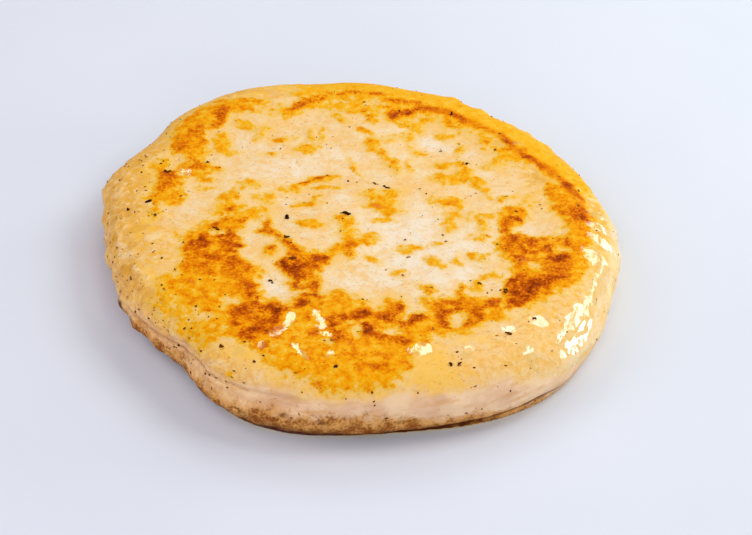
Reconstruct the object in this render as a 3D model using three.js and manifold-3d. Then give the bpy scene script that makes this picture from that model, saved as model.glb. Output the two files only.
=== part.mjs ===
// A pan-fried chicken patty: one slab of minced white meat, pressed flat on both faces in the pan, with
// rounded shoulders, an uneven bulging side and coarse pepper flakes set in its skin.
// Millimetres, +Z up. It lies on z = 0, with the middle of its outline over the origin.
// Angles are in degrees, anticlockwise from +X seen from above, so 270 is the front.
import * as THREE from "three";
import { ImprovedNoise } from "three/addons/math/ImprovedNoise.js";
import { mergeVertices } from "three/addons/utils/BufferGeometryUtils.js";
import Module from "manifold-3d";

const THICKNESS = 15;
const MEAN_RADIUS = 55.5;

// The outline from above is a circle drawn out into an oval and faintly three-cornered, with lumps and
// dents along its edge. "out" is how far each moves the edge outwards, and "spread" its half width.
const OVAL = { at: 126, out: 2.9 };
const THREE_CORNERS = { at: 4, out: 0.7 };
const EDGE_LUMPS = [
  { at: 2, spread: 6, out: 0.3 },
  { at: 45, spread: 7, out: 0.5 },
  { at: 66, spread: 5, out: 1.1 },
  { at: 90, spread: 4, out: 0.3 },
  { at: 122, spread: 9, out: 1.1 },
  { at: 160, spread: 9, out: 1.6 },
  { at: 243, spread: 9, out: 1.5 },
  { at: 312, spread: 9, out: 1.0 },
];
const EDGE_DENTS = [
  { at: 100, spread: 5, out: -0.9 },
  { at: 146, spread: 4, out: -1.7 },
  { at: 188, spread: 7, out: -0.8 },
  { at: 225, spread: 8, out: -1.7 },
  { at: 281, spread: 9, out: -1.2 },
  { at: 343, spread: 8, out: -1.0 },
];

// The section from the base up: the side leaves the base a little inside the outline, bulges furthest at
// BULGE_HEIGHT and rolls over a shoulder to the flat top. At the left the edge curls up off the pan.
const BULGE_HEIGHT = 6.5;
const SHOULDER_RUN = 11;
const SHOULDER_SQUARENESS = 2.4;
const BASE_TUCK = 2.2;
const TUCK_ROUNDNESS = 1.8;
const CURLED_EDGE = { at: 209, spread: 17, out: 5.4 };

// Relief of the side. Each groove or roll runs from one angle to another, fading over "fade" degrees, and
// its height goes from the first value to the second along the way, evenly where its "bend" is 1.
const CRUST_GAP = { from: 264, to: 312, fade: 9, height: [0.9, 2.6], bend: 2.2, half: 0.6, out: -1.6 };
const FOLD = { from: 206, to: 262, fade: 9, height: [8.6, 9.6], bend: 1, half: 1.1, out: -0.9 };
const LOWER_ROLL = { from: 228, to: 262, fade: 9, height: [4.6, 5.2], bend: 1, half: 2.4, out: 0.6 };
const LEFT_KNOB = { from: 160, to: 166, fade: 5, height: [10, 10], bend: 1, half: 2.6, out: 1.0 };
const LEFT_LEDGE = { from: 172, to: 178, fade: 4, height: [11, 10], bend: 1, half: 1.8, out: -1.1 };
const SIDE_RELIEF = [CRUST_GAP, FOLD, LOWER_ROLL, LEFT_KNOB, LEFT_LEDGE];

// The grain of the mince: swells of two sizes on the side, and lower, broader ones on the pressed top,
// which also has a few dents where the mince didn't meet the pan.
const SIDE_SWELLS = [
  { around: 9, up: 5, out: 0.7 },
  { around: 5.8, up: 3, out: 0.45 },
];
const TOP_SWELL = { size: 14, lift: 0.3 };
const TOP_DENTS = [
  { x: 15, y: 26, spread: 4.5, drop: 0.7 },
  { x: -10, y: 12, spread: 4, drop: 0.5 },
  { x: -24, y: 27, spread: 5, drop: 0.4 },
  { x: 8, y: -9, spread: 7, drop: 0.5 },
  { x: 36, y: -3, spread: 4, drop: 0.5 },
  { x: -16, y: -22, spread: 4, drop: 0.5 },
  { x: 20, y: -34, spread: 3.5, drop: 0.5 },
];

// Coarse pepper flakes in the upper skin: place, length and the way each one lies.
const FLAKE = { width: 0.55, proud: 0.3, sunk: 0.35 };
const FLAKES = [
  { x: -41.1, y: 16.5, long: 1.5, turn: 0 },
  { x: -44.5, y: 5.6, long: 1.6, turn: 12 },
  { x: -43.0, y: 1.2, long: 1.1, turn: 130 },
  { x: -48.9, y: 4.3, long: 0.9, turn: 160 },
  { x: -29.7, y: -3.7, long: 1.2, turn: 140 },
  { x: -14.9, y: 0.4, long: 1.8, turn: 80 },
  { x: -2.3, y: 1.6, long: 1.9, turn: 140 },
  { x: -14.8, y: -6.8, long: 1.1, turn: 10 },
  { x: -13.4, y: -14.0, long: 1.6, turn: 170 },
  { x: 3.7, y: 12.2, long: 1.5, turn: 135 },
  { x: 5.9, y: 11.0, long: 1.7, turn: 155 },
  { x: 20.6, y: 38.3, long: 1.5, turn: 70 },
  { x: 23.4, y: 19.7, long: 1.4, turn: 10 },
  { x: 17.9, y: 25.0, long: 1.0, turn: 30 },
  { x: -17.6, y: -21.0, long: 1.4, turn: 140 },
  { x: -32.6, y: 20.2, long: 1.0, turn: 20 },
  { x: 25.2, y: -22.5, long: 1.2, turn: 150 },
  { x: 30.4, y: -25.0, long: 1.3, turn: 100 },
  { x: 30.4, y: -38.4, long: 1.5, turn: 165 },
  { x: 20.4, y: -47.0, long: 1.0, turn: 60 },
  { x: 18.7, y: -47.6, long: 1.1, turn: 160 },
  { x: 35.9, y: -33.6, long: 1.0, turn: 40 },
  { x: -27.0, y: -41.6, long: 1.2, turn: 120 },
  { x: -4.2, y: -48.6, long: 1.1, turn: 90 },
];

// How finely the slab is meshed: faces along each quarter of the outline, and up its side. The lower side,
// up to the bulge, has its own share of the rows, which crowd a little towards the base.
const GRID = { quarter: 30, up: 24 };
const LOWER_SIDE_SHARE = 0.44;
const ROW_CROWDING = 1.2;
const SLOPE_STEP = 0.5;

const radians = THREE.MathUtils.degToRad;
const grain = new ImprovedNoise();

// How far apart two directions are, from 0 to 180 degrees.
function angleBetween(a, b) {
  return Math.abs(THREE.MathUtils.euclideanModulo(a - b + 180, 360) - 180);
}

// A smooth hump: 1 at 0, and nearly nothing beyond two and a half spreads.
function hump(distance, spread) {
  return Math.exp(-0.5 * (distance / spread) ** 2);
}

// Distance from the middle to the outline in a direction.
function outlineRadius(angle) {
  let radius = MEAN_RADIUS + OVAL.out * Math.cos(2 * radians(angle - OVAL.at));
  radius += THREE_CORNERS.out * Math.cos(3 * radians(angle - THREE_CORNERS.at));
  for (const lump of [...EDGE_LUMPS, ...EDGE_DENTS]) {
    radius += lump.out * hump(angleBetween(angle, lump.at), lump.spread);
  }
  return radius;
}

// How far inside the outline the side meets the base.
function baseTuck(angle) {
  return BASE_TUCK + CURLED_EDGE.out * hump(angleBetween(angle, CURLED_EDGE.at), CURLED_EDGE.spread);
}

// One groove or roll's share of the side's relief, at a direction and a height.
function bandRelief(band, angle, height) {
  const { from, to, fade, bend, half, out } = band;
  const inside = THREE.MathUtils.smoothstep(angle, from - fade, from + fade);
  const outside = THREE.MathUtils.smoothstep(angle, to - fade, to + fade);
  const along = THREE.MathUtils.clamp((angle - from) / (to - from), 0, 1) ** bend;
  const middle = THREE.MathUtils.lerp(band.height[0], band.height[1], along);
  return out * inside * (1 - outside) * hump(height - middle, half);
}

// All relief of the side. It fades out at the base and at the top, which the pan pressed flat.
function sideRelief(angle, height) {
  const x = MEAN_RADIUS * Math.cos(radians(angle));
  const y = MEAN_RADIUS * Math.sin(radians(angle));
  const pressed = Math.sin(Math.PI * THREE.MathUtils.clamp(height / THICKNESS, 0, 1));
  let out = 0;
  for (const swell of SIDE_SWELLS) {
    out += swell.out * pressed * grain.noise(x / swell.around, y / swell.around, height / swell.up);
  }
  for (const band of SIDE_RELIEF) {
    out += bandRelief(band, angle, height);
  }
  return out;
}

// Height of the pressed top at a place.
function topHeight(x, y) {
  let height = THICKNESS - TOP_SWELL.lift * (1 + grain.noise(x / TOP_SWELL.size, y / TOP_SWELL.size, 0));
  for (const dent of TOP_DENTS) {
    height -= dent.drop * hump(Math.hypot(x - dent.x, y - dent.y), dent.spread);
  }
  return height;
}

function plateauRadius(angle) {
  return outlineRadius(angle) - SHOULDER_RUN;
}

// The side's section from the base edge (share 0) over the shoulder to the edge of the flat top (share 1).
function sidePoint(angle, share) {
  const outline = outlineRadius(angle);
  const edge = plateauRadius(angle);
  const top = topHeight(edge * Math.cos(radians(angle)), edge * Math.sin(radians(angle)));
  if (share < LOWER_SIDE_SHARE) {
    const height = BULGE_HEIGHT * (share / LOWER_SIDE_SHARE) ** ROW_CROWDING;
    const tucked = (1 - height / BULGE_HEIGHT) ** TUCK_ROUNDNESS;
    return { radius: outline - baseTuck(angle) * tucked + sideRelief(angle, height), height };
  }
  const turn = (Math.PI / 2) * ((share - LOWER_SIDE_SHARE) / (1 - LOWER_SIDE_SHARE));
  const inwards = 1 - Math.max(Math.cos(turn), 0) ** (2 / SHOULDER_SQUARENESS);
  const height = BULGE_HEIGHT + (top - BULGE_HEIGHT) * Math.sin(turn) ** (2 / SHOULDER_SQUARENESS);
  const relief = sideRelief(angle, height) * Math.cos(turn);
  return { radius: outline - SHOULDER_RUN * inwards + relief, height };
}

// Direction of a point on the square face of a cube, spaced evenly round the square.
function squareAngle(x, y) {
  if (x === 0 && y === 0) return 0;
  const eighth =
    Math.abs(x) >= Math.abs(y)
      ? 45 * (y / x) + (x < 0 ? 180 : 0)
      : 90 - 45 * (x / y) + (y < 0 ? 180 : 0);
  return THREE.MathUtils.euclideanModulo(eighth, 360);
}

// Where a point of a two-unit cube lands on the slab: its lower and upper faces become the flat base and
// top, and its four sides wrap round the edge.
function slabPoint(cube) {
  const angle = squareAngle(cube.x, cube.y);
  const middleOut = Math.max(Math.abs(cube.x), Math.abs(cube.y));
  const onTop = cube.z === 1;
  const onBase = cube.z === -1;
  const side = sidePoint(angle, (cube.z + 1) / 2);
  const radius = onTop || onBase ? side.radius * middleOut : side.radius;
  const x = radius * Math.cos(radians(angle));
  const y = radius * Math.sin(radians(angle));
  if (onBase) return new THREE.Vector3(x, y, 0);
  return new THREE.Vector3(x, y, onTop ? topHeight(x, y) : side.height);
}

// A geometry's triangles alone, with the points that neighbours share merged.
function closed(geometry) {
  geometry.deleteAttribute("normal");
  geometry.deleteAttribute("uv");
  return mergeVertices(geometry);
}

function slab() {
  const cube = closed(new THREE.BoxGeometry(2, 2, 2, GRID.quarter, GRID.quarter, GRID.up));
  const points = cube.getAttribute("position");
  const corner = new THREE.Vector3();
  for (let i = 0; i < points.count; i += 1) {
    corner.fromBufferAttribute(points, i);
    const placed = slabPoint(corner);
    points.setXYZ(i, placed.x, placed.y, placed.z);
  }
  return cube;
}

// Height of the upper skin over any place inside the outline, on the flat top or on the shoulder.
function skinHeight(x, y) {
  const angle = THREE.MathUtils.euclideanModulo(THREE.MathUtils.radToDeg(Math.atan2(y, x)), 360);
  const beyond = Math.hypot(x, y) - plateauRadius(angle);
  if (beyond <= 0) return topHeight(x, y);
  const across = Math.min(beyond / SHOULDER_RUN, 1) ** SHOULDER_SQUARENESS;
  return BULGE_HEIGHT + (topHeight(x, y) - BULGE_HEIGHT) * (1 - across) ** (1 / SHOULDER_SQUARENESS);
}

// The way that the upper skin faces at a place.
function skinNormal(x, y) {
  const riseX = skinHeight(x + SLOPE_STEP, y) - skinHeight(x - SLOPE_STEP, y);
  const riseY = skinHeight(x, y + SLOPE_STEP) - skinHeight(x, y - SLOPE_STEP);
  return new THREE.Vector3(-riseX, -riseY, 2 * SLOPE_STEP).normalize();
}

// A pepper flake: a flat, angular grain lying in the skin, half of it below the surface.
function pepperFlake({ x, y, long, turn }) {
  const flake = closed(new THREE.IcosahedronGeometry(0.5, 0));
  flake.scale(long, FLAKE.width * Math.sqrt(long), 2 * (FLAKE.proud + FLAKE.sunk));
  flake.rotateZ(radians(turn));
  const lean = new THREE.Quaternion().setFromUnitVectors(new THREE.Vector3(0, 0, 1), skinNormal(x, y));
  flake.applyQuaternion(lean);
  return flake.translate(x, y, skinHeight(x, y) - FLAKE.sunk);
}

const wasm = await Module();
wasm.setup();

function solidOf(geometry) {
  const vertProperties = new Float32Array(geometry.getAttribute("position").array);
  const triVerts = new Uint32Array(geometry.index.array);
  return new wasm.Manifold(new wasm.Mesh({ numProp: 3, vertProperties, triVerts }));
}

function geometryOf(solid) {
  const mesh = solid.getMesh();
  const geometry = new THREE.BufferGeometry();
  geometry.setAttribute("position", new THREE.BufferAttribute(mesh.vertProperties, 3));
  geometry.setIndex(new THREE.BufferAttribute(mesh.triVerts, 1));
  return geometry;
}

// The whole patty, moved so that the middle of its outline is over the origin.
function pattyGeometry() {
  let solid = solidOf(slab());
  for (const flake of FLAKES) {
    solid = solid.add(solidOf(pepperFlake(flake)));
  }
  const geometry = geometryOf(solid);
  geometry.computeBoundingBox();
  const middle = geometry.boundingBox.getCenter(new THREE.Vector3());
  geometry.translate(-middle.x, -middle.y, 0);
  geometry.computeVertexNormals();
  return geometry;
}

const browned = new THREE.MeshStandardMaterial({ color: 0xe8b468, roughness: 0.45, metalness: 0 });
const patty = new THREE.Mesh(pattyGeometry(), browned);
patty.name = "patty";

const part = new THREE.Group();
part.add(patty);

export default part;
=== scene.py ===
import math
import random
import bmesh
import bpy
import numpy as np
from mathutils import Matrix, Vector, noise


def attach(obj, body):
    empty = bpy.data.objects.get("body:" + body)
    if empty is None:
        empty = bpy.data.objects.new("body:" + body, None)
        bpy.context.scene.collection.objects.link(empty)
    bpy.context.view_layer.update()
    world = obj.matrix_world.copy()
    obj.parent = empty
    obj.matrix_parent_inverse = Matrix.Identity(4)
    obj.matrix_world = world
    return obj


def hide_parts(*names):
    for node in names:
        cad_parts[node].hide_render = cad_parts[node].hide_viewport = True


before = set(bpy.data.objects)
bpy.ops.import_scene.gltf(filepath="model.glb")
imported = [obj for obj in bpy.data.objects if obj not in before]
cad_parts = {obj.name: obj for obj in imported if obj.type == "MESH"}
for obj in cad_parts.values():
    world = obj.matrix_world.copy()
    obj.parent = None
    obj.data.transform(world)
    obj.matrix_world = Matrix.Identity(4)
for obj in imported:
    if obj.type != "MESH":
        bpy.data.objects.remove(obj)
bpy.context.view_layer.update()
mm = 0.001


def linear(red, green, blue):  # a screen colour from 0 to 255, as the nodes read it
    parts = [c / 255 for c in (red, green, blue)]
    return tuple(p / 12.92 if p < 0.04 else ((p + 0.055) / 1.055) ** 2.4 for p in parts) + (1.0,)


def addNode(tree, kind, sockets=None, **settings):
    node = tree.nodes.new(kind)
    for name, value in settings.items():
        setattr(node, name, value)
    for name, value in (sockets or {}).items():
        if isinstance(value, bpy.types.NodeSocket):
            tree.links.new(value, node.inputs[name])
        else:
            node.inputs[name].default_value = value
    return node


def output(tree, kind, sockets=None, **settings):  # a new node's first output
    return addNode(tree, kind, sockets, **settings).outputs[0]


def calc(operation, *values):  # in the tree that holds the sockets among the values
    tree = next(v.id_data for v in values if isinstance(v, bpy.types.NodeSocket))
    return output(tree, "ShaderNodeMath", dict(enumerate(values)), operation=operation)


def times(first, second):
    return calc("MULTIPLY", first, second)


def plus(first, second):
    return calc("ADD", first, second)


def minus(first, second):
    return calc("SUBTRACT", first, second)


def weighted(base, *pairs):  # a value with shares of other values added to it
    for value, share in pairs:
        base = calc("MULTIPLY_ADD", value, share, base)
    return base


def vectorCalc(operation, first, second=(0, 0, 0), third=(0, 0, 0)):
    sockets = {0: first, 1: second, 2: third}
    return output(first.id_data, "ShaderNodeVectorMath", sockets, operation=operation)


def scaled(vector, amount):
    return output(vector.id_data, "ShaderNodeVectorMath", {0: vector, "Scale": amount}, operation="SCALE")


def stretch(vector, x, y, z):
    return vectorCalc("MULTIPLY", vector, (x, y, z))


def between(value, low, high, toLow=0.0, toHigh=1.0):  # eased from one level to another
    sockets = {0: value, 1: low, 2: high, 3: toLow, 4: toHigh}
    return output(value.id_data, "ShaderNodeMapRange", sockets, interpolation_type="SMOOTHSTEP")


def upTo(share, value, low, high):  # eased from nothing up to a share
    return between(value, low, high, 0.0, share)


def grain(vector, size, detail=2.0, roughness=0.5):  # noise with lumps about that size across
    often = calc("DIVIDE", 1.0, size) if isinstance(size, bpy.types.NodeSocket) else 1 / size
    sockets = {"Vector": vector, "Scale": often, "Detail": detail, "Roughness": roughness}
    return output(vector.id_data, "ShaderNodeTexNoise", sockets)


def mixColour(share, first, second):
    return addNode(share.id_data, "ShaderNodeMix", {0: share, 6: first, 7: second},
                   data_type="RGBA", clamp_factor=True).outputs[2]


def ramp(value, stops):
    node = addNode(value.id_data, "ShaderNodeValToRGB", {0: value})
    band = node.color_ramp.elements
    band[0].position, band[0].color = stops[0]
    band[1].position, band[1].color = stops[-1]
    for place, colour in stops[1:-1]:
        band.new(place).color = colour
    return node.outputs[0]


def shadeGroup(name, inputs, outputs):  # a shader group with its sockets
    tree = bpy.data.node_groups.new(name, "ShaderNodeTree")
    for label, kind in inputs.items():
        tree.interface.new_socket(label, in_out="INPUT", socket_type=kind)
    for label, kind in outputs.items():
        tree.interface.new_socket(label, in_out="OUTPUT", socket_type=kind)
    return tree, tree.nodes.new("NodeGroupInput").outputs, tree.nodes.new("NodeGroupOutput").inputs


def shapeTree(name, sizes):  # a geometry tree with a named input for each size
    tree = bpy.data.node_groups.new(name, "GeometryNodeTree")
    tree.interface.new_socket("Geometry", in_out="INPUT", socket_type="NodeSocketGeometry")
    kinds = {int: "NodeSocketInt", float: "NodeSocketFloat"}
    for label, value in sizes.items():
        kind = kinds.get(type(value), "NodeSocketObject")
        tree.interface.new_socket(label, in_out="INPUT", socket_type=kind)
    tree.interface.new_socket("Geometry", in_out="OUTPUT", socket_type="NodeSocketGeometry")
    return tree, tree.nodes.new("NodeGroupInput").outputs, tree.nodes.new("NodeGroupOutput").inputs


def named(tree, label, kind="FLOAT"):
    return output(tree, "GeometryNodeInputNamedAttribute", {"Name": label}, data_type=kind)


def stored(geometry, label, value, kind="FLOAT", domain="POINT"):
    sockets = {"Geometry": geometry, "Name": label, "Value": value}
    return output(geometry.id_data, "GeometryNodeStoreNamedAttribute", sockets,
                  data_type=kind, domain=domain)


def endTree(tree, geometry, finish, outlet):
    real = output(tree, "GeometryNodeRealizeInstances", {0: geometry})
    smooth = output(tree, "GeometryNodeSetShadeSmooth", {"Geometry": real})
    painted = output(tree, "GeometryNodeSetMaterial", {"Geometry": smooth, "Material": finish})
    tree.links.new(painted, outlet["Geometry"])


def keepMesh(piece):  # what the modifiers make becomes the piece's own plain mesh
    graph = bpy.context.evaluated_depsgraph_get()
    done = bpy.data.meshes.new_from_object(piece.evaluated_get(graph), depsgraph=graph)
    piece.modifiers.clear()
    piece.data = done
    done.name = piece.name


def runTree(piece, tree, sizes):
    modifier = piece.modifiers.new(tree.name, "NODES")
    modifier.node_group = tree
    for item in tree.interface.items_tree:
        if item.in_out == "INPUT" and item.name in sizes:
            modifier[item.identifier] = sizes[item.name]
    keepMesh(piece)


def newPiece(name, mesh):
    piece = bpy.data.objects.new(name, mesh)
    bpy.context.scene.collection.objects.link(piece)
    return piece


# camera, where the photograph was taken from
view = {"elevation": 38.0, "distance": 600 * mm, "lens": 136.03, "sensor": 36, "nearest": 0.01,
        "aim": Vector((0.406, -6.0, 7.5)) * mm, "aside": 3.27 * mm, "below": 1.16 * mm}
tilt = math.radians(view["elevation"])
outward = Vector((0, -math.cos(tilt), math.sin(tilt)))
upward = Vector((0, math.sin(tilt), math.cos(tilt)))
camera = bpy.data.objects.new("camera", bpy.data.cameras.new("camera"))
camera.data.lens = view["lens"]
camera.data.sensor_width = view["sensor"]
camera.data.clip_start = view["nearest"]
camera.location = (view["aim"] + outward * view["distance"]
                   + Vector((1, 0, 0)) * view["aside"] - upward * view["below"])
camera.rotation_euler = (math.pi / 2 - tilt, 0, 0)
bpy.context.scene.collection.objects.link(camera)
bpy.context.scene.camera = camera

# the patty's form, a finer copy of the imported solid
form = {"merge": 0.001 * mm, "rounding": 1, "voxel": 0.44 * mm, "smoothing": 6, "softness": 0.5,
        "flatBelow": 0.15 * mm, "flatFacing": -0.99, "thinning": 4}
patty = newPiece("patty_skin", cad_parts["patty"].data.copy())
shell = bmesh.new()
shell.from_mesh(patty.data)
bmesh.ops.remove_doubles(shell, verts=shell.verts, dist=form["merge"])
shell.to_mesh(patty.data)
shell.free()
patty.data.materials.clear()
rounded = patty.modifiers.new("rounded", "SUBSURF")
rounded.levels = rounded.render_levels = form["rounding"]
finer = patty.modifiers.new("finer", "REMESH")
finer.mode = "VOXEL"
finer.voxel_size = form["voxel"]
smoother = patty.modifiers.new("smoother", "SMOOTH")
smoother.factor = form["softness"]
smoother.iterations = form["smoothing"]
keepMesh(patty)

# fewer faces on the flat underside
shell = bmesh.new()
shell.from_mesh(patty.data)
under = [v for v in shell.verts if v.co.z < form["flatBelow"] and v.normal.z < form["flatFacing"]]
bmesh.ops.unsubdivide(shell, verts=under, iterations=form["thinning"])
shell.to_mesh(patty.data)
shell.free()
patty.data.calc_loop_triangles()
print("patty form,", len(patty.data.loop_triangles), "triangles")

# browned areas of the top, drawn as corners in mm
goldAreas = {
    "left": [
        (-37, -5.5), (-34.5, -4), (-32.5, -2), (-30, -.4), (-27.5, .6), (-24, 2), (-20.3, 1.2),
        (-22.5, -1), (-24.2, -2.2), (-23.3, -5), (-24.8, -5.3), (-23.8, -9.8), (-25, -11.2),
        (-24.5, -13), (-22.8, -13.8), (-21.3, -16), (-18.6, -18.3), (-20.6, -18.8), (-20.3, -21.5),
        (-19.7, -24.5), (-19.8, -26.5), (-18.8, -27.7), (-16.3, -27), (-15.8, -29.5), (-14.5, -30.2),
        (-11, -31), (-12, -40), (-16, -43.5), (-19, -44.5), (-21.5, -43), (-23, -41), (-26, -40),
        (-30, -39.5), (-33, -36.5), (-34, -33.5), (-31.5, -31.5), (-33.5, -30), (-36, -29), (-38, -27),
        (-40.5, -26.5), (-42, -25), (-41, -22.5), (-40.5, -19.5), (-38, -18), (-37, -15.5), (-36, -13),
        (-37, -10.5), (-37.2, -7.5)],
    "leftFringe": [
        (-43.2, -25.8), (-41.2, -20), (-38, -20.5), (-36, -24), (-34.6, -28), (-33, -31), (-31.6, -35),
        (-29, -38.6), (-28, -41), (-31, -41), (-34, -39.2), (-35.4, -36.4), (-37.6, -34.6), (-37, -31.8),
        (-39.4, -30.4), (-41, -28)],
    "middle": [
        (-20.8, -.5), (-19.2, .2), (-18, -2.2), (-17.2, -4.2), (-16, -6), (-14.6, -7.6), (-13.5, -9.3),
        (-12.2, -10.6), (-10.2, -10.8), (-8, -11.4), (-6, -11), (-4.8, -9.2), (-3, -7.8), (-1.5, -7),
        (.2, -6), (3.2, -5.8), (4.4, -7.2), (3, -8.8), (.5, -9.5), (-.8, -11), (-1.2, -13), (-3, -13),
        (-5, -13.5), (-4.8, -14.6), (-6.5, -16), (-7.2, -18.2), (-7.8, -20.5), (-8.2, -23),
        (-8.6, -25.2), (-10.5, -25), (-11.4, -23.4), (-13.8, -23.6), (-14.3, -21.8), (-13.8, -20.2),
        (-15.5, -18.9), (-16.6, -17), (-17.2, -15.6), (-16.2, -14.2), (-15, -12.8), (-15.2, -11),
        (-16.3, -8.6), (-17.6, -7), (-19.3, -6), (-20.9, -4.8), (-20.4, -2.5)],
    "middleTop": [
        (-5, .5), (-3.2, 1.2), (-1.3, .3), (-.8, -2), (-.6, -4.5), (-.2, -5.8), (-1.8, -7.3),
        (-3.6, -7.5), (-4.3, -6), (-3.6, -4), (-4.6, -2)],
    "island": [
        (-20.6, -13), (-19.2, -13.8), (-17, -13), (-16, -11.2), (-16.8, -9.6), (-18.2, -10),
        (-19.8, -10.6)],
    "front": [
        (-13.8, -29.8), (-13.5, -27.4), (-12.4, -25.2), (-10.5, -24.8), (-8.6, -25.4), (-7.2, -26.4),
        (-5.5, -25.2), (-3.5, -24.4), (-1.5, -25.2), (0, -26.2), (1.2, -28), (2.8, -29.2), (3.6, -31),
        (4.6, -30.2), (4.8, -27.8), (6.2, -25.8), (8, -26.6), (9.6, -26.8), (9.4, -29), (9.6, -31.4),
        (9, -33.6), (10.4, -33.6), (12.6, -32), (14, -31), (13.2, -29.3), (13.2, -27.9), (14.3, -26.5),
        (14, -25), (12.2, -23.2), (13.5, -22.6), (15.5, -24), (15.8, -25.4), (15.2, -27), (16, -28),
        (17.8, -26.8), (19.4, -27.3), (20.3, -25.6), (20.8, -22.8), (22, -23.2), (22, -25.5),
        (23.4, -27.2), (25.5, -27.4), (28, -26.4), (29.5, -28), (29.5, -31), (31, -33.5), (28, -35),
        (25.5, -35.5), (24, -37.2), (21, -38.8), (18.5, -39.4), (15.8, -38.8), (14.8, -41),
        (12.4, -42.5), (11.6, -46), (10.4, -49), (8.6, -51.6), (6, -53), (3, -53.2), (0, -54),
        (-2, -54.2), (-5, -54.4), (-7.5, -53), (-9, -51), (-12, -50.8), (-15, -49.6), (-18, -47.4),
        (-19.5, -45.5), (-14, -40)],
    "right": [
        (29.6, -5), (29.2, -2), (28.8, -.6), (26, 0), (23.8, -.6), (24.5, 1), (27, .8), (29.4, 1.2),
        (30.2, 3), (32.4, 4.6), (34.6, 4.2), (36.2, 2.4), (36.3, .3), (34.6, -.6), (33.5, -2), (33, -4),
        (34.6, -5.4), (37, -6.3), (39.5, -6.5), (41.5, -6.6), (42.8, -7.6), (43.6, -5.6), (43.2, -3),
        (43.6, -.8), (42, .8), (41, 2.6), (40.8, 5.5), (39.5, 8), (39.6, 11), (41, 12.5), (44.5, 12),
        (47, 8.5), (48.6, 5), (50, 1.5), (49.8, -1.5), (49.2, -5), (48.8, -9), (47.8, -13), (47, -17),
        (46.6, -20), (44.2, -22.6), (41.5, -25), (39, -27.2), (36.5, -29.2), (34, -30.6), (31.5, -31.2),
        (29.5, -30.2), (28.6, -28.4), (29.8, -26), (30.3, -23.5), (30.8, -21), (32.2, -19.6),
        (31, -17.5), (32, -16), (30.4, -14.4), (29.2, -12), (29, -8)],
    "backLeft": [
        (-38, 5), (-37, 8), (-38.5, 10.5), (-37.5, 12.5), (-36.5, 14.5), (-34, 14), (-32, 15.5),
        (-29.5, 16.5), (-30.5, 18.5), (-32.5, 19.5), (-33.8, 21), (-33, 24), (-33.4, 26.5),
        (-33.3, 29.5), (-34, 31.5), (-33.4, 33.2), (-31, 33), (-29.6, 34), (-29, 36.5), (-28, 38.5),
        (-25, 39), (-22, 38.7), (-21.2, 40.5), (-20, 42), (-20.2, 43.5), (-23, 44.5), (-28, 45),
        (-32, 44.5), (-36.5, 41.5), (-39, 37.5), (-41, 33), (-41.6, 29), (-41.3, 26), (-40, 23.5),
        (-38, 21.5), (-37.5, 19.5), (-39.5, 17), (-41.5, 17.4), (-43.4, 16), (-43.6, 12.5), (-44, 9.5),
        (-45.5, 7), (-44, 5.5), (-41, 3.5), (-39.5, 4)],
    "back": [
        (-19.5, 39.6), (-17.5, 41.2), (-15, 41.6), (-13.2, 44.5), (-15.6, 46), (-13.4, 48), (-17, 50),
        (-14, 53), (-12, 57), (0, 59), (12, 58), (25, 53), (35, 46), (43, 38), (49, 29), (52, 24),
        (55, 19), (51.5, 17), (53.5, 14), (50, 13), (51, 10.5), (47.5, 8.5), (46, 8.5), (43.5, 11.5),
        (42.3, 14), (40, 15.4), (39.2, 17.4), (37, 19), (34, 19.5), (31.5, 19.3), (29.6, 17.6),
        (27.2, 17), (26.8, 18.2), (28.2, 19.6), (29.6, 20.5), (29.4, 24), (31, 25.5), (32, 27),
        (30, 29.5), (27.5, 31.5), (25, 30.6), (22.5, 30.8), (21.5, 32.5), (19.8, 33), (19, 31),
        (18.5, 33.5), (17, 35.5), (14.5, 34), (14, 31), (12, 30.6), (11.4, 28), (12, 26), (11, 26),
        (10.6, 28.4), (9, 29.6), (10.4, 31), (11.5, 32.5), (10.5, 34), (8.5, 34.4), (6.5, 35.4),
        (5.8, 37), (4.5, 38), (4.3, 35), (3.2, 34), (1.6, 35.4), (1.2, 37.4), (-1, 38), (-3.5, 39),
        (-6, 39.6), (-9, 40.2), (-11.6, 40), (-13.5, 38), (-16, 37), (-19, 37.4)]}
# how deeply each area is browned
searWarmth = {"left": .38, "leftFringe": .22, "middle": .34, "middleTop": .29, "island": .30, "front": .36,
              "right": .38, "backLeft": .35, "back": .27, "spots": .3}
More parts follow.
